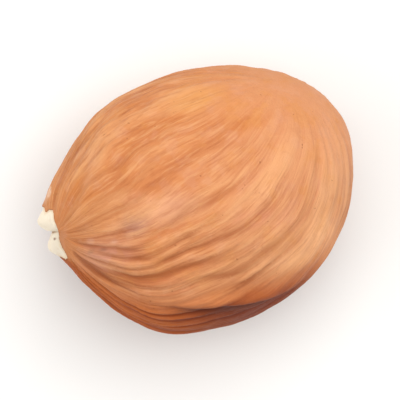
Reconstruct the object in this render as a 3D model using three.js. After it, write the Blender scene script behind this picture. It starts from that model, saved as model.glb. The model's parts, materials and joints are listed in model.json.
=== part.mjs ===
// A shelled hazelnut kernel in its brown skin, lying on its side.
// Millimetres, +Z up. The pointed end is at -X and the blunt end at +X.
// The origin is on the surface that the kernel rests on, under the middle of its box.

import * as THREE from 'three';
import { mergeVertices } from 'three/addons/utils/BufferGeometryUtils.js';

// Driving dimensions of the kernel as it lies.
const LENGTH = 16.8;
const WIDTH = 13.6;
const HEIGHT = 12.8;
const REST_DEPTH = 0.3; // how much of the round underside the flat resting spot takes away

const DETAIL = 17; // cuts along each edge of the starting icosahedron
const TIP_CROWDING = 0.22; // how far the vertices are drawn towards the pointed end

// Lengthwise outline. Every station is a share of the length, 0 at the pointed end.
const TAPER = { fullness: 0.889, tip: 0.643, heel: 0.515 };
const SHOULDER = { gain: 0.127, station: 0.26, reach: 0.178 };
const TIP_DRIFT = { amount: 0.048, reach: 0.069 };
const HEEL_DRIFT = { amount: 0.059, reach: 0.171 };

// Soft flats, ridges and dents. Angles run round the kernel in degrees, from +Y up through +Z,
// spreads are in degrees, stations and reaches are shares of the length, and a height is a share
// of the local radius. A negative height is a flat or a dent.
const FOLDS = [
  { height: 0.030, angle: 146, spread: 9, station: 0.56, reach: 0.30 }, // ridge on the low shoulder
  { height: -0.034, angle: 170, spread: 15, station: 0.66, reach: 0.24 }, // steep facet below it
  { height: 0.018, angle: 208, spread: 16, station: 0.50, reach: 0.30 }, // keel under the facet
  { height: -0.020, angle: 48, spread: 20, station: 0.42, reach: 0.26 }, // flat of the upper flank
  { height: -0.016, angle: 96, spread: 12, station: 0.22, reach: 0.12 }, // dent behind the point
  { height: -0.030, angle: 318, spread: 17, station: 0.55, reach: 0.30 }, // flat on the far side
  { height: 0.022, angle: 344, spread: 12, station: 0.60, reach: 0.28 }, // ridge beside that flat
  { height: -0.078, angle: 8, spread: 45, station: 0.27, reach: 0.27 }, // straighter far side
  { height: -0.055, angle: 5, spread: 45, station: 0.76, reach: 0.18 }, // the same, by the heel
  { height: -0.070, angle: 178, spread: 45, station: 0.90, reach: 0.12 }, // near corner of the heel
];

// The bare point: two seed lobes side by side, with the seam between them running up and down.
// Places are measured sideways from the foremost spot, and everything fades out behind the point.
const LOBES = [
  { across: 0.05, rise: 0.05, width: 0.58 },
  { across: -1.32, rise: 0.17, width: 0.62 },
];
const SEAM = { across: -0.66, depth: 0.17, width: 0.24, height: 0.90 };
const POINT_REACH = 0.07; // share of the length over which the lobes fade out

const SKIN_COLOUR = 0xc9824f;
const SKIN_ROUGHNESS = 0.62;

const degrees = THREE.MathUtils.degToRad;
const bell = (offset, spread) => Math.exp(-((offset / spread) ** 2));

/** Half the width at a station, as a share of the length. */
function girth(station) {
  const taper = TAPER.fullness * station ** TAPER.tip * (1 - station) ** TAPER.heel;
  return taper * (1 + SHOULDER.gain * bell(station - SHOULDER.station, SHOULDER.reach));
}

/** How far the middle line strays towards +Y, as a share of the length. */
function drift(station) {
  const atTip = TIP_DRIFT.amount * Math.exp(-station / TIP_DRIFT.reach);
  const atHeel = HEEL_DRIFT.amount * Math.exp(-(1 - station) / HEEL_DRIFT.reach);
  return atTip + atHeel;
}

/** What the flats and ridges do to the radius, as a factor near 1. */
function foldFactor(station, angle) {
  let factor = 1;
  for (const fold of FOLDS) {
    const turn = Math.atan2(
      Math.sin(angle - degrees(fold.angle)),
      Math.cos(angle - degrees(fold.angle)),
    );
    const around = bell(turn, degrees(fold.spread));
    const along = bell(station - fold.station, fold.reach);
    factor += fold.height * around * along;
  }
  return factor;
}

/** How far the seed lobes stand out at the point, beyond the plain outline. */
function lobeRise(y, z, station) {
  let rise = -SEAM.depth * bell(y - SEAM.across, SEAM.width) * bell(z, SEAM.height);
  for (const lobe of LOBES) {
    rise += lobe.rise * bell(Math.hypot(y - lobe.across, z), lobe.width);
  }
  return rise * bell(station, POINT_REACH);
}

/** Moves a point of the unit sphere to its place on the kernel. */
function shape(point) {
  const polar = Math.acos(THREE.MathUtils.clamp(-point.x, -1, 1));
  const crowded = polar - TIP_CROWDING * Math.sin(polar);
  const station = (1 - Math.cos(crowded)) / 2;
  const angle = Math.atan2(point.z, point.y);
  const radius = LENGTH * girth(station) * foldFactor(station, angle);
  const y = radius * Math.cos(angle);
  const z = radius * Math.sin(angle) * (HEIGHT + REST_DEPTH) / WIDTH;
  point.set(LENGTH * station - lobeRise(y, z, station), y + LENGTH * drift(station), z);
}

/** Stretches the shape to the driving dimensions and presses its underside flat at z = 0. */
function settle(geometry) {
  geometry.computeBoundingBox();
  const box = geometry.boundingBox;
  const size = box.getSize(new THREE.Vector3());
  const middle = box.getCenter(new THREE.Vector3());
  geometry.translate(-middle.x, -middle.y, -box.min.z);
  geometry.scale(LENGTH / size.x, WIDTH / size.y, (HEIGHT + REST_DEPTH) / size.z);
  geometry.translate(0, 0, -REST_DEPTH);
  const places = geometry.attributes.position;
  for (let i = 0; i < places.count; i += 1) {
    places.setZ(i, Math.max(places.getZ(i), 0));
  }
}

function kernelGeometry() {
  const sphere = new THREE.IcosahedronGeometry(1, DETAIL);
  sphere.deleteAttribute('normal');
  sphere.deleteAttribute('uv');
  const geometry = mergeVertices(sphere, 1e-5);
  const places = geometry.attributes.position;
  const point = new THREE.Vector3();
  for (let i = 0; i < places.count; i += 1) {
    point.fromBufferAttribute(places, i);
    shape(point);
    places.setXYZ(i, point.x, point.y, point.z);
  }
  settle(geometry);
  geometry.computeVertexNormals();
  return geometry;
}

const skin = new THREE.MeshStandardMaterial({
  color: SKIN_COLOUR,
  roughness: SKIN_ROUGHNESS,
  metalness: 0,
});

const kernel = new THREE.Mesh(kernelGeometry(), skin);
kernel.name = 'hazelnut_kernel';

const group = new THREE.Group();
group.add(kernel);

export default group;
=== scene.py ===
"""A shelled hazelnut kernel on a pale table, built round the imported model, in metres."""

import json
import math

import bpy
import numpy as np
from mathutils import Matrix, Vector, noise

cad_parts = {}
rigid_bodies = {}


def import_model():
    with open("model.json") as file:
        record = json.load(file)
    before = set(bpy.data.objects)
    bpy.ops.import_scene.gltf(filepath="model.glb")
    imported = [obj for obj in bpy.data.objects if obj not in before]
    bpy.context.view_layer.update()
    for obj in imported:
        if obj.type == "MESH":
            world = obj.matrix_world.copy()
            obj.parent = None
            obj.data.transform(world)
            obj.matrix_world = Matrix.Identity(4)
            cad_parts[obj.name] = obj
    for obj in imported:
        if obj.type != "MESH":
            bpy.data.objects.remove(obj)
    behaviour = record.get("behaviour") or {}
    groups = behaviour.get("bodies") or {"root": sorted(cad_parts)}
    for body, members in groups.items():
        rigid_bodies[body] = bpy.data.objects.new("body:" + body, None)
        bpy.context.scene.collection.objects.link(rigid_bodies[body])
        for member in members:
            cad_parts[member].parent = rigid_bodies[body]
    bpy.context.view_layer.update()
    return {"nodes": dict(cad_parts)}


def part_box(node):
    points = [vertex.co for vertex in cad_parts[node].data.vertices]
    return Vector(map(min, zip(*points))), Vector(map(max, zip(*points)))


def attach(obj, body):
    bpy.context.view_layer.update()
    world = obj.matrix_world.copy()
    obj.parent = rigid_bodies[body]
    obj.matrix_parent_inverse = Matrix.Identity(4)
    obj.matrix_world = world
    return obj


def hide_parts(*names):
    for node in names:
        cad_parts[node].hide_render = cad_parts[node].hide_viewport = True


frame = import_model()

NODE = "hazelnut_kernel"

MM = 0.001
LOW, HIGH = (np.array(corner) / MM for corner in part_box(NODE))
LENGTH, WIDTH, HEIGHT = HIGH - LOW
REST_DEPTH = 0.3  # how much of the round underside the flat resting spot takes away, in mm
MID_HEIGHT = (HEIGHT - REST_DEPTH) / 2

# ---------------------------------------------------------------- the kernel's own coordinates

# The middle line strays sideways at both ends, in shares of the length.
TIP_DRIFT, TIP_REACH = 0.048, 0.069
HEEL_DRIFT, HEEL_REACH = 0.059, 0.171


def bell(offset, spread):
    return np.exp(-((offset / spread) ** 2))


def ramp(value, start, end):
    """0 before start, 1 after end, and smooth between."""
    share = np.clip((value - start) / (end - start), 0, 1)
    return share * share * (3 - 2 * share)


def turn_from(angle, middle):
    """The signed angle in radians from middle, which is in degrees, to angle."""
    offset = angle - np.radians(middle)
    return np.arctan2(np.sin(offset), np.cos(offset))


def side(angle, middle, spread):
    """1 on one side of the kernel, fading round it: middle and spread are in degrees."""
    return bell(turn_from(angle, middle), math.radians(spread))


def kernel_coordinates(places):
    """Station along the kernel, 0 at the point and 1 at the heel, and angle round it from +Y."""
    station = np.clip((places[:, 0] - LOW[0]) / LENGTH, 0, 1)
    drift = TIP_DRIFT * np.exp(-station / TIP_REACH)
    drift += HEEL_DRIFT * np.exp(-(1 - station) / HEEL_REACH)
    across = places[:, 1] - drift * LENGTH
    above = places[:, 2] - MID_HEIGHT
    return station, np.arctan2(above, across)


# The grain of the skin runs in arcs over the kernel from the point to the heel. The two aren't
# straight opposite each other, so the arcs are short on one side. These are directions in a
# kernel scaled to a ball.
POINT_POLE = np.array([-0.947, 0.030, 0.320])
HEEL_POLE = np.array([0.600, 0.684, 0.415])
GRAIN_RADIUS = 6.8  # mm, about half the kernel's width
GRAIN_EVENING = 0.57  # makes the grain about as fine on the short side as on the long side


def grain_coordinates(places):
    """Turn round the grain, share of the way from the point to the heel, and radius in mm."""
    ball = (places - [0, 0, MID_HEIGHT]) / [LENGTH / 2, WIDTH / 2, HEIGHT / 2]
    ball /= np.linalg.norm(ball, axis=1)[:, None]
    from_point = np.linalg.norm(ball - POINT_POLE, axis=1)
    from_heel = np.linalg.norm(ball - HEEL_POLE, axis=1)
    share = from_point**2 / (from_point**2 + from_heel**2)

    far_side = (POINT_POLE @ HEEL_POLE) * HEEL_POLE - POINT_POLE
    far_side /= np.linalg.norm(far_side)
    axes = np.column_stack([far_side, np.cross(HEEL_POLE, far_side)])
    flat = (ball @ axes) / (1 - ball @ HEEL_POLE)[:, None]
    flat -= (POINT_POLE @ axes) / (1 - POINT_POLE @ HEEL_POLE)
    angle = np.arctan2(flat[:, 1], flat[:, 0])
    turn = angle + GRAIN_EVENING * np.sin(angle)
    radius = GRAIN_RADIUS * from_point * from_heel / np.linalg.norm(HEEL_POLE - POINT_POLE)
    return turn, share, radius / (1 + GRAIN_EVENING * np.cos(angle))


# ---------------------------------------------------------------- mesh helpers


def deselect_all():
    for item in bpy.context.view_layer.objects:
        item.select_set(False)


def make_active(item):
    deselect_all()
    item.select_set(True)
    bpy.context.view_layer.objects.active = item


def read_places(mesh):
    flat = np.empty(len(mesh.vertices) * 3)
    mesh.vertices.foreach_get("co", flat)
    return flat.reshape(-1, 3) / MM


def read_normals(mesh):
    flat = np.empty(len(mesh.vertices) * 3)
    mesh.vertices.foreach_get("normal", flat)
    return flat.reshape(-1, 3)


def write_places(mesh, places):
    mesh.vertices.foreach_set("co", (places * MM).ravel())
    mesh.update()


def store(mesh, name, values):
    """Keeps one number, or three, for each vertex, for the material to read."""
    kind = "FLOAT" if values.ndim == 1 else "FLOAT_VECTOR"
    layer = mesh.attributes.new(name, kind, "POINT")
    layer.data.foreach_set("value" if values.ndim == 1 else "vector", values.ravel())


def cloud(points, seed):
    """Smooth noise of unit cell size, about -0.5 to 0.5, at each point."""
    shift = Vector((seed * 7.3, seed * -4.1, seed * 2.9))
    return np.array([noise.noise(Vector(point) + shift) for point in points])


def clouds(places, *layers):
    """Layers of noise added up: each has how many cells there are to a mm, a strength and a seed."""
    return sum(strength * cloud(places * cells, seed) for cells, strength, seed in layers)


def copy_of_node(name, new_name):
    """A loose copy of a CAD node, with its doubled vertices merged."""
    source = frame["nodes"][name]
    piece = bpy.data.objects.new(new_name, source.data.copy())
    bpy.context.scene.collection.objects.link(piece)
    piece.data.materials.clear()
    make_active(piece)
    bpy.ops.object.mode_set(mode="EDIT")
    bpy.ops.mesh.select_all(action="SELECT")
    bpy.ops.mesh.remove_doubles(threshold=0.001 * MM)
    bpy.ops.object.mode_set(mode="OBJECT")
    return piece


def subdivide(piece, levels):
    """Rounds the piece with a subdivision surface, applied."""
    modifier = piece.modifiers.new("rounding", "SUBSURF")
    modifier.levels = levels
    modifier.render_levels = levels
    make_active(piece)
    bpy.ops.object.modifier_apply(modifier=modifier.name)


# ---------------------------------------------------------------- relief

# Heights, depths, places and sizes are in mm.
POINT_ACROSS = 0.20  # where the seam between the seed lobes comes out
BARE_HALF_WIDTH, BARE_RISE, BARE_DROP = 1.45, 1.85, 1.25  # the bare point, each way from the seam
BARE_CORNERS = ((0.40, 122, 25), (0.20, 88, 14), (0.45, 62, 18))  # reach, angle and spread
LOBES = ((0.70, 0.42, 0.26), (-0.72, 0.48, 0.30))  # across from the seam, half-width and height
WORN_PLACE, WORN_SIZE = (2.05, 0.65), (0.45, 0.65)  # the worn spot, across and up from the seam
FAR_FROM_EDGE = 5.0  # stands for any place far from the bare point
SKIN_THICKNESS = 0.07
PLEAT_SPACING = 0.90
PLEAT_DRIFT = 5.0  # how far the grooves stray sideways, in radians of their own cycle
WRINKLE_SPACING = 0.60
GROOVE_DEPTH = 0.15
RIDGE_HEIGHT = 0.075
BROAD_HEIGHT = 0.04
FIBRE_HEIGHT = 0.034
LIP_HEIGHT = 0.10
UNDER_LIP_DEPTH = 0.10
CREASE_DEPTH = 0.14
CURL_HEIGHT = 0.03  # the torn skin's edge turns up a little
SEAM_DEPTH = 0.22


def strands(turn, share, count, stretch, seed):
    """Noise drawn out along the grain, with about count ridges round it."""
    ring = count * 1.6 / math.tau
    points = np.column_stack([ring * np.cos(turn), ring * np.sin(turn), stretch * share])
    return cloud(points, seed)


def pleats(turn, share, radius):
    """Long even grooves, 0 to 1 deep. Pairs of them run together towards both ends."""
    drifting = PLEAT_DRIFT * strands(turn, share, 9, 3.0, 1492)
    fading = strands(turn, share, 30, 3.0, 653)
    depth = np.zeros(len(share))
    total = np.zeros(len(share))
    for count in (19, 38, 76):
        spacing = math.tau * radius / count
        weight = bell(np.log(np.maximum(spacing, 0.01) / PLEAT_SPACING), 0.42)
        phase = 0.5 * (count * turn + drifting)
        depth += weight * np.cos(phase) ** 2 * (1.25 - 0.25 * np.cos(phase) ** 2)
        total += weight
    return depth / np.maximum(total, 0.05) * np.clip(0.75 + 1.5 * fading, 0.10, 1)


def wrinkles(turn, share, radius):
    """Shorter and less even grooves, 0 to 1 deep."""
    depth = np.zeros(len(share))
    total = np.zeros(len(share))
    for count, stretch, seed in ((25, 3.0, 518), (50, 4.5, 519), (100, 6.0, 520)):
        spacing = math.tau * radius / count
        weight = bell(np.log(np.maximum(spacing, 0.01) / WRINKLE_SPACING), 0.55)
        line = strands(turn, share, count, stretch, seed)
        depth += weight * bell(line, 0.14)
        total += weight
    return depth / np.maximum(total, 0.05)


def lip(station, angle):
    """The fold low on the near flank: how far a spot is past its edge, and how strong it is there."""
    edge = 141.5 + 45 * (station - 0.42) + 10 * ramp(station, 0.66, 0.84)
    window = ramp(station, 0.24, 0.50) * ramp(station, 0.82, 0.62)
    return turn_from(angle, edge), window


def from_seam(places):
    """How far each spot is across and above the middle of the seam at the point."""
    return places[:, 1] - POINT_ACROSS, places[:, 2] - MID_HEIGHT


def torn_edge(places):
    """Millimetres from the torn edge of the skin: more than 0 on the skin, less on the bare point."""
    across, above = from_seam(places)
    angle = np.arctan2(above, across)
    half_height = np.where(above > 0, BARE_RISE, BARE_DROP)
    reach = 1 / np.hypot(np.cos(angle) / BARE_HALF_WIDTH, np.sin(angle) / half_height)
    for corner, middle, spread in BARE_CORNERS:
        reach += corner * side(angle, middle, spread)
    reach += clouds(places, (1.1, 0.40, 31), (3.0, 0.10, 32))
    edge = np.hypot(across, above) - reach
    return np.where(places[:, 0] < 0, edge, FAR_FROM_EDGE)


def rubbed_spot(places):
    """How far the skin is worn to a pale film in a small spot beside the bare point, 0 to 1."""
    across, above = from_seam(places)
    across = (across - WORN_PLACE[0]) / WORN_SIZE[0]
    above = (above - WORN_PLACE[1]) / WORN_SIZE[1]
    ragged = clouds(places, (1.7, 0.5, 34), (4.0, 0.5, 35))
    return ramp(np.hypot(across, above) + ragged, 1.1, 0.6) * (places[:, 0] < 0)


def seed_lobes(places):
    """Height of the two seed lobes at the bare point, and how deep in their seam a spot is, 0 to 1."""
    across, above = from_seam(places)
    wander = 0.12 * cloud(places * 1.6, 33)
    seam = bell(across + wander, 0.11) * bell(above, 2.4)
    lobes = sum(height * bell(across - middle, width) for middle, width, height in LOBES)
    return lobes * bell(above, 2.0) - SEAM_DEPTH * seam, seam


def groove_strength(station, angle, share):
    """Grooves are deep on the near and under sides, and almost gone on the upper side."""
    low_side = side(angle, 150, 58) * (1 - 0.70 * bell(station - 0.88, 0.26))
    under_side = side(angle, 260, 70)
    beside_point = side(angle, 45, 45) * bell(station - 0.28, 0.20)
    strength = 0.14 + 0.95 * np.maximum(low_side, 0.6 * under_side) + 0.22 * beside_point
    return strength * ramp(station, 0.02, 0.12) * ramp(1 - share, 0.01, 0.16)


def fold(station, angle):
    """Height of the fold low on the near flank, its painted shade, partly darker skin, and the crease
    under its edge.
    """
    past, window = lip(station, angle)
    under = ramp(past, 0.0, 0.05) * ramp(past, 1.0, 0.10) * window
    crease = ramp(past, -0.02, 0.03) * np.exp(-np.maximum(past, 0) / 0.14) * window
    height = LIP_HEIGHT * bell(past + 0.05, 0.06) * window
    height -= UNDER_LIP_DEPTH * under + CREASE_DEPTH * crease
    # the darkening under the fold's edge is painted shade, partly darker skin
    soft_edge = 0.05 + 0.55 * ramp(station, 0.60, 0.80)
    darkening = ramp(past, -0.07 - 0.3 * soft_edge, soft_edge) * ramp(past, 1.25, 0.42)
    darkening *= ramp(station, 0.24, 0.56) * ramp(station, 0.92, 0.68)
    return height, darkening, crease


def low_flank(station, angle):
    """Where the near flank is painted darker red-brown low down as shade, 0 to 1."""
    past_line = turn_from(angle, 125 + 16 * ramp(station, 0.55, 0.85))
    darkening = ramp(past_line, 0.0, 0.38) * ramp(past_line, 2.9, 2.0)
    return darkening * ramp(1 - station, 0.03, 0.28)


def sculpt(piece):
    """Raises the relief of the skin and the bare point, and keeps what the material reads."""
    mesh = piece.data
    places = read_places(mesh)
    normals = read_normals(mesh)
    station, angle = kernel_coordinates(places)
    turn, share, radius = grain_coordinates(places)

    wave = clouds(places, (0.30, 0.045, 11), (0.75, 0.014, 12), (1.6, 0.006, 13))
    waved = turn + wave

    cut = 0.75 * pleats(waved, share, radius) + 0.35 * wrinkles(waved, share, radius)
    groove = cut * groove_strength(station, angle, share)
    ridge = strands(waved, share, 42, 6.0, 314) * ramp(radius, 1.0, 3.0)
    broad = strands(waved, share, 23, 2.5, 1218) * ramp(radius, 1.0, 4.0)
    fibre = strands(waved, share, 110, 9.0, 23) * ramp(radius, 1.0, 3.0)
    fold_height, fold_shade_and_stain, crease = fold(station, angle + 0.5 * wave)

    edge = torn_edge(places)
    bare = ramp(-edge, -0.03, 0.03)
    lobes, seam = seed_lobes(places)

    skin = fold_height + RIDGE_HEIGHT * ridge + BROAD_HEIGHT * broad
    skin += clouds(places, (0.30, 0.10, 21), (0.9, 0.03, 22))
    skin += (FIBRE_HEIGHT * fibre - GROOVE_DEPTH * groove) * (1 - bare)
    flesh = lobes - SKIN_THICKNESS + clouds(places, (5.0, 0.012, 24))
    height = skin + CURL_HEIGHT * bell(edge - 0.10, 0.10) + flesh * bare

    places = places + normals * height[:, None]
    places[:, 2] = np.maximum(places[:, 2], 0)
    write_places(mesh, places)
    kept_values = {
        "flow": np.column_stack([np.cos(waved), np.sin(waved), share]),
        "groove": groove,
        "ridge": ridge,
        "broad": broad,
        # the fold, its crease and the low near flank carry painted shade in the material; the fold's is
        # partly darker skin
        "fold_shade_and_stain": fold_shade_and_stain,
        "crease": crease,
        "low_flank": low_flank(station, angle),
        "torn_edge": edge,
        "seam": seam,
        "rubbed": rubbed_spot(places),
    }
    for name, values in kept_values.items():
        store(mesh, name, values)


def build_kernel():
    """The finished kernel stands for the CAD node, and rides on its body."""
    piece = copy_of_node(NODE, "kernel")
    subdivide(piece, 2)
    sculpt(piece)
    piece.data.shade_smooth()
    piece.data.materials.append(skin_material())
    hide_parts(NODE)
    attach(piece, "root")


# ---------------------------------------------------------------- material helpers


def node(tree, kind, inputs=(), **settings):
    """Adds a node, with its settings, and each input joined or set by name."""
    made = tree.nodes.new(kind)
    for name, value in settings.items():
        setattr(made, name, value)
    for name, value in dict(inputs).items():
        give(tree, made.inputs[name], value)
    return made


def give(tree, socket, value):
    if isinstance(value, bpy.types.NodeSocket):
        tree.links.new(value, socket)
    else:
        socket.default_value = value


def kept(tree, name, output="Fac"):
    """A number or vector that the mesh keeps for each vertex."""
    return node(tree, "ShaderNodeAttribute", attribute_name=name).outputs[output]


def maths(tree, operation, first, second=0.0):
    """One sum of two numbers."""
    made = node(tree, "ShaderNodeMath", operation=operation)
    give(tree, made.inputs[0], first)
    give(tree, made.inputs[1], second)
    return made.outputs[0]


def remap(tree, value, low, high, to_low=0.0, to_high=1.0):
    """Value from low to high, read smoothly as to_low to to_high."""
    made = node(tree, "ShaderNodeMapRange", interpolation_type="SMOOTHSTEP")
    numbers = (value, low, high, to_low, to_high)
    for socket, number in zip(made.inputs, numbers):
        give(tree, socket, number)
    return made.outputs[0]


def blend(tree, share, first, second, how="MIX"):
    """Two colours mixed by a share."""
    made = node(tree, "ShaderNodeMix", data_type="RGBA", blend_type=how)
    for socket, value in ((0, share), (6, first), (7, second)):
        give(tree, made.inputs[socket], value)
    return made.outputs[2]


def between(tree, share, first, second):
    """Two numbers mixed by a share."""
    made = node(tree, "ShaderNodeMix")
    for socket, value in ((0, share), (2, first), (3, second)):
        give(tree, made.inputs[socket], value)
    return made.outputs[0]


def stretched(tree, vector, scale, offset=(0, 0, 0)):
    inputs = {"Vector": vector, "Scale": scale, "Location": offset}
    return node(tree, "ShaderNodeMapping", inputs).outputs[0]


def split(tree, vector):
    """The three parts of a vector."""
    return node(tree, "ShaderNodeSeparateXYZ", {"Vector": vector}).outputs


def grain(tree, vector, scale, detail=2.0, roughness=0.5):
    """Noise from about 0.3 to 0.7."""
    inputs = {"Vector": vector, "Scale": scale, "Detail": detail, "Roughness": roughness}
    return node(tree, "ShaderNodeTexNoise", inputs).outputs["Fac"]


# ---------------------------------------------------------------- materials

ORANGE_OCHRE = (0.610, 0.228, 0.082, 1)
ROSE_OCHRE = (0.650, 0.280, 0.130, 1)
ROSE_MOTTLE = (0.660, 0.310, 0.180, 1)
OCHRE_MOTTLE = (0.640, 0.255, 0.066, 1)
RED_BROWN = (0.340, 0.085, 0.024, 1)
GROOVE_BROWN = (0.300, 0.075, 0.020, 1)
# painted shade colours: under the fold, partly darker skin, on the low near flank, and in the fold's
# crease
FOLD_SHADE_AND_STAIN = (0.430, 0.260, 0.260, 1)
LOW_FLANK_SHADE = (0.740, 0.465, 0.300, 1)
MAROON = (0.110, 0.026, 0.013, 1)
TAN = (0.760, 0.390, 0.180, 1)
CREAM = (0.985, 0.865, 0.690, 1)
BUFF = (0.820, 0.600, 0.360, 1)
SEAM_BROWN = (0.420, 0.220, 0.090, 1)
EDGE_BROWN = (0.240, 0.080, 0.030, 1)
PALE_ROSE = (0.880, 0.620, 0.450, 1)

BUMP_HEIGHT = 0.055  # mm

# A brown fleck on the near seed lobe: its middle and half-size along and across, in mm.
FLECK_PLACE = (-7.80, -0.13)
FLECK_SIZE = (0.15, 0.11)

# Soft tints on the upper side: middle and half-size along and across in mm, strength, and colour.
TINTS = (
    ((1.0, 5.0), (2.4, 0.9), 0.60, (0.700, 0.315, 0.090, 1)),  # yellow ochre on the far shoulder
    ((-1.0, 4.2), (2.2, 0.6), 0.50, (0.560, 0.185, 0.052, 1)),  # orange streaks below it
    ((3.0, 3.1), (2.8, 0.8), 0.75, (0.570, 0.195, 0.060, 1)),
    ((-1.0, 2.9), (1.5, 0.6), 0.40, (0.740, 0.350, 0.145, 1)),  # pale ochre between the streaks
    ((2.0, 1.9), (1.7, 0.6), 0.35, (0.750, 0.370, 0.180, 1)),
    ((-6.0, 1.7), (1.8, 1.6), 0.50, (0.560, 0.185, 0.040, 1)),  # orange beside the point
    ((-5.2, 4.1), (2.3, 1.3), 0.50, (0.450, 0.150, 0.045, 1)),  # painted shade: darker orange-brown on the far side of the point
    ((5.6, 3.0), (2.2, 2.2), 0.50, (0.620, 0.260, 0.120, 1)),  # rose at the heel
    ((7.4, -0.6), (1.2, 3.2), 0.60, (0.720, 0.340, 0.180, 1)),  # painted highlight: pale rose along the heel's lit rim
    ((5.6, -3.3), (2.4, 1.8), 0.92, (0.930, 0.470, 0.235, 1)),  # pale ochre on the near shoulder
    ((3.2, -0.5), (2.6, 0.8), 0.40, (0.740, 0.380, 0.210, 1)),  # pale rose in the middle
    ((-1.3, -0.1), (2.4, 1.1), 0.75, (0.740, 0.380, 0.220, 1)),
    ((0.6, -1.9), (3.2, 0.7), 0.40, (0.480, 0.185, 0.085, 1)),  # brown streaks on the near side
    ((-2.4, -4.2), (2.8, 1.0), 0.85, (0.430, 0.122, 0.048, 1)),
    ((-3.4, -3.4), (3.6, 1.8), 0.50, (0.470, 0.140, 0.054, 1)),  # red-brown below the point
    ((-5.0, -1.6), (2.5, 1.3), 0.80, (0.670, 0.320, 0.225, 1)),  # rose behind the point
    ((4.2, -4.1), (3.0, 1.0), 0.75, (0.880, 0.430, 0.205, 1)),  # the pale crest over the fold
    ((3.2, -5.5), (2.3, 0.55), 0.60, (0.360, 0.120, 0.065, 1)),  # painted shade: darker brown along the edge of the fold
    ((2.6, -1.5), (1.7, 0.9), 0.40, (0.640, 0.265, 0.180, 1)),  # mauve rose on the near side
    ((-5.9, -0.7), (0.30, 0.22), 0.45, (0.800, 0.500, 0.370, 1)),  # small pale and grey specks
    ((-4.7, -1.0), (0.35, 0.20), 0.45, (0.800, 0.500, 0.370, 1)),
    ((-6.0, -1.2), (0.26, 0.16), 0.60, (0.300, 0.170, 0.120, 1)),
    ((-5.35, -1.25), (0.34, 0.16), 0.60, (0.300, 0.170, 0.120, 1)),
    ((-3.3, 0.8), (1.2, 0.6), 0.30, (0.700, 0.340, 0.190, 1)),  # a pale spot over the bruise
    ((-3.5, -0.5), (1.2, 0.9), 0.90, (0.430, 0.198, 0.135, 1)),  # a greyish bruise
)


def oval(tree, place, middle, size, strength, raggedness):
    """The share of a soft-edged oval tint on the upper side."""
    offset = (-middle[0] / size[0], -middle[1] / size[1], 0)
    flat = stretched(tree, place, (1 / size[0], 1 / size[1], 0), offset)
    distance = node(tree, "ShaderNodeVectorMath", {0: flat}, operation="LENGTH")
    ragged = maths(tree, "MULTIPLY", raggedness, 1.6)
    spread = maths(tree, "ADD", distance.outputs["Value"], ragged)
    above = remap(tree, split(tree, place)[2], 3.5, 6.5)
    return maths(tree, "MULTIPLY", remap(tree, spread, 1.75, 0.85, 0, strength), above)


def ground_colour(tree, place):
    """Orange ochre at the point, rose on the near side of the heel, red-brown painted low down as shade,
    and the tints.
    """
    along, across, up = split(tree, place)
    patches = grain(tree, place, 0.22, 2.0)
    rose_line = maths(tree, "ADD", along, maths(tree, "MULTIPLY", across, -0.5))
    rose_line = maths(tree, "ADD", rose_line, maths(tree, "MULTIPLY", patches, 6.0))
    colour = blend(tree, remap(tree, rose_line, -1.5, 9.5), ORANGE_OCHRE, ROSE_OCHRE)
    # painted shade: the colour darkens to red-brown towards the bottom
    low_shade_line = maths(tree, "ADD", up, maths(tree, "MULTIPLY", patches, 4.0))
    colour = blend(tree, remap(tree, low_shade_line, 8.5, 3.0, 0, 0.6), colour, RED_BROWN)
    for middle, size, strength, tint in TINTS:
        share = oval(tree, place, middle, size, strength, patches)
        colour = blend(tree, share, colour, tint)
    return colour


def mottled(tree, colour, place):
    """A fine mottling of rose and ochre."""
    mottle = grain(tree, place, 0.9, 3.0, 0.55)
    colour = blend(tree, remap(tree, mottle, 0.52, 0.66, 0, 0.35), colour, ROSE_MOTTLE)
    return blend(tree, remap(tree, mottle, 0.47, 0.34, 0, 0.35), colour, OCHRE_MOTTLE)


def streaked(tree, colour, pattern, light, dark, clear):
    """Tan on a pattern's highs and red-brown in its lows, each from start to end at a strength."""
    for (start, end, strength), tint in ((light, TAN), (dark, RED_BROWN)):
        share = maths(tree, "MULTIPLY", remap(tree, pattern, start, end, 0, strength), clear)
        colour = blend(tree, share, colour, tint)
    return colour


def blotched(tree, colour, place):
    """Red-brown blotches and a few dark specks."""
    blotch = grain(tree, place, 1.1, 4.0, 0.6)
    colour = blend(tree, remap(tree, blotch, 0.55, 0.80, 0, 0.22), colour, RED_BROWN)
    speck = grain(tree, place, 4.0, 1.0, 0.5)
    return blend(tree, remap(tree, speck, 0.75, 0.82, 0, 0.5), colour, EDGE_BROWN)


def flesh_colour(tree, place, edge, ragged):
    """Cream seed, buff near the torn skin, with the brown seam and a fleck."""
    flesh_grain = grain(tree, place, 2.5, 3.0)
    flesh = blend(tree, remap(tree, flesh_grain, 0.55, 0.8, 0, 0.4), CREAM, BUFF)
    flesh = blend(tree, remap(tree, edge, -0.32, 0.0, 0, 0.55), flesh, BUFF)
    fleck = oval(tree, place, FLECK_PLACE, FLECK_SIZE, 0.8, ragged)
    flesh = blend(tree, fleck, flesh, EDGE_BROWN)
    return blend(tree, remap(tree, kept(tree, "seam"), 0.3, 0.9, 0, 0.9), flesh, SEAM_BROWN)


def with_bare_point(tree, colour, place):
    """The skin ends in a thin dark rim, and the pale flesh shows beyond it."""
    edge = kept(tree, "torn_edge")
    ragged = grain(tree, place, 7.0, 3.0, 0.6)
    line = maths(tree, "ADD", edge, maths(tree, "MULTIPLY", ragged, 0.10))
    from_rim = maths(tree, "ABSOLUTE", maths(tree, "SUBTRACT", line, 0.10))
    colour = blend(tree, remap(tree, from_rim, 0.07, 0.0, 0, 0.5), colour, EDGE_BROWN)
    bare = remap(tree, line, 0.07, 0.04)
    return blend(tree, bare, colour, flesh_colour(tree, place, edge, ragged))


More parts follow.
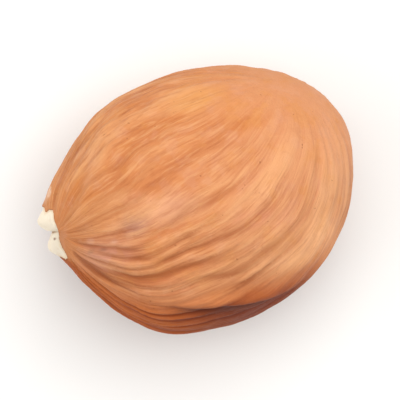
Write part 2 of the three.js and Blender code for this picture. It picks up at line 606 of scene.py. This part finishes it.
def skin_material():
    material = bpy.data.materials.new("brown_skin")
    material.use_nodes = True
    tree = material.node_tree
    shader = tree.nodes["Principled BSDF"]
    shader.inputs["Specular IOR Level"].default_value = 0.12
    place = node(tree, "ShaderNodeTexCoord").outputs["Object"]
    place = stretched(tree, place, (1 / MM,) * 3)
    flow = kept(tree, "flow", "Vector")

    # the grain comes together at the heel, so its patterns fade there into even ones
    at_heel = remap(tree, split(tree, flow)[2], 0.80, 0.96)
    clear = maths(tree, "SUBTRACT", 1.0, maths(tree, "MULTIPLY", at_heel, 0.75))
    fibre = grain(tree, stretched(tree, flow, (22, 22, 5)), 1.0, 3.0, 0.6)
    fibre = between(tree, at_heel, fibre, grain(tree, place, 2.4, 3.0, 0.6))
    thread = grain(tree, stretched(tree, flow, (46, 46, 9)), 1.0, 2.0, 0.6)

    colour = mottled(tree, ground_colour(tree, place), place)
    # on the broad and ridge relief, the tan highs are partly painted highlight and the red-brown lows
    # partly painted shade; on fibre and thread they are the skin's own streaks
    for pattern, light, dark in (
        (kept(tree, "broad"), (-0.04, 0.28, 0.30), (0.00, -0.30, 0.15)),
        (kept(tree, "ridge"), (0.00, 0.30, 0.17), (0.02, -0.28, 0.12)),
        (fibre, (0.50, 0.68, 0.32), (0.47, 0.30, 0.22)),
        (thread, (0.52, 0.66, 0.30), (0.46, 0.32, 0.24)),
    ):
        colour = streaked(tree, colour, pattern, light, dark, clear)
    colour = blotched(tree, colour, place)

    # grooves are darker, partly their own colour and partly painted shade; the near flank has painted
    # shade low down, and the fold and its crease have the darkest painted shade, the fold's partly darker
    # skin
    groove = remap(tree, kept(tree, "groove"), 0.10, 0.85, 0, 0.80)
    colour = blend(tree, groove, colour, GROOVE_BROWN)
    # painted shade: the low near flank is multiplied darker
    colour = blend(tree, kept(tree, "low_flank"), colour, LOW_FLANK_SHADE, "MULTIPLY")
    # painted shade under the fold, partly darker skin
    fold_fibre = remap(tree, fibre, 0.30, 0.70, 0.75, 1.0)
    fold_shade_and_stain = maths(tree, "MULTIPLY", kept(tree, "fold_shade_and_stain"), fold_fibre)
    colour = blend(tree, fold_shade_and_stain, colour, FOLD_SHADE_AND_STAIN, "MULTIPLY")
    # painted shade: the crease under the fold's edge is darkened to maroon
    crease = remap(tree, kept(tree, "crease"), 0.05, 0.70, 0, 0.92)
    colour = blend(tree, crease, colour, MAROON)

    # the worn spot and the bare point
    worn_fibre = remap(tree, fibre, 0.35, 0.60, 0.25, 0.70)
    rubbed = maths(tree, "MULTIPLY", kept(tree, "rubbed"), worn_fibre)
    colour = blend(tree, rubbed, colour, PALE_ROSE)
    colour = with_bare_point(tree, colour, place)
    tree.links.new(colour, shader.inputs["Base Color"])

    # the surface is crinkled, with a fine fibre along the grain
    crinkle = grain(tree, place, 3.0, 5.0, 0.65)
    fine_fibre = grain(tree, stretched(tree, flow, (60, 60, 14)), 1.0, 3.0, 0.6)
    fine_fibre = between(tree, at_heel, fine_fibre, grain(tree, place, 7.0, 3.0, 0.6))
    relief = maths(tree, "ADD", maths(tree, "MULTIPLY", crinkle, 0.6), fine_fibre)
    bump_inputs = {"Strength": 0.8, "Distance": BUMP_HEIGHT * MM, "Height": relief}
    bump = node(tree, "ShaderNodeBump", bump_inputs)
    tree.links.new(bump.outputs[0], shader.inputs["Normal"])
    roughness = remap(tree, crinkle, 0.3, 0.7, 0.54, 0.70)
    tree.links.new(roughness, shader.inputs["Roughness"])
    return material


def table_material():
    material = bpy.data.materials.new("pale_table")
    material.use_nodes = True
    shader = material.node_tree.nodes["Principled BSDF"]
    shader.inputs["Base Color"].default_value = (0.80, 0.80, 0.79, 1)
    shader.inputs["Roughness"].default_value = 0.7
    return material


# ---------------------------------------------------------------- table, light and camera

TURN_IN_VIEW = 14.0  # degrees that the kernel's length is turned in the camera's view
VIEW_SHARE = 0.80  # the kernel's length as a share of the view's width
LENS = 200.0  # mm
TABLE_SIZE = 2.0  # metres
LAMP_DISTANCE = 0.80  # metres
ROOM_LIGHT = 0.55  # how much light the room gives all round
BACKDROP = 0.92  # how pale the room looks behind the table


def lay_table():
    bpy.ops.mesh.primitive_plane_add(size=TABLE_SIZE, location=(0, 0, 0))
    table = bpy.context.object
    table.name = "table"
    table.data.materials.append(table_material())


def hang_lamp(name, direction, distance, size, energy, colour):
    """A square soft lamp that shines on the kernel from a direction."""
    data = bpy.data.lights.new(name, "AREA")
    data.shape = "SQUARE"
    data.size = size
    data.energy = energy
    data.color = colour
    lamp = bpy.data.objects.new(name, data)
    bpy.context.scene.collection.objects.link(lamp)
    towards = Vector(direction).normalized()
    lamp.location = Vector((0, 0, HEIGHT / 2 * MM)) + towards * distance
    lamp.rotation_euler = towards.to_track_quat("Z", "Y").to_euler()


def light_scene():
    world = bpy.data.worlds.new("studio")
    bpy.context.scene.world = world
    world.use_nodes = True
    background = world.node_tree.nodes["Background"]
    background.inputs["Color"].default_value = (1, 1, 1, 1)
    seen = node(world.node_tree, "ShaderNodeLightPath").outputs["Is Camera Ray"]
    strength = between(world.node_tree, seen, ROOM_LIGHT, BACKDROP)
    world.node_tree.links.new(strength, background.inputs["Strength"])
    hang_lamp("key", (0.30, 0.24, 1.0), LAMP_DISTANCE, 0.88, 6.72, (1.0, 0.985, 0.96))
    hang_lamp("fill", (-0.80, 0.15, 0.75), LAMP_DISTANCE, 0.64, 1.76, (1.0, 0.98, 0.96))
    bpy.context.scene.view_settings.view_transform = "Standard"


def place_camera():
    data = bpy.data.cameras.new("camera")
    data.lens = LENS
    camera = bpy.data.objects.new("camera", data)
    bpy.context.scene.collection.objects.link(camera)
    seen_width = LENGTH * MM / VIEW_SHARE
    distance = seen_width * data.lens / data.sensor_width
    camera.location = (0, 0, MID_HEIGHT * MM + distance)
    camera.rotation_euler = (0, 0, math.radians(-TURN_IN_VIEW))
    data.clip_start = 0.001
    bpy.context.scene.camera = camera


deselect_all()
place_camera()
light_scene()
lay_table()
build_kernel()
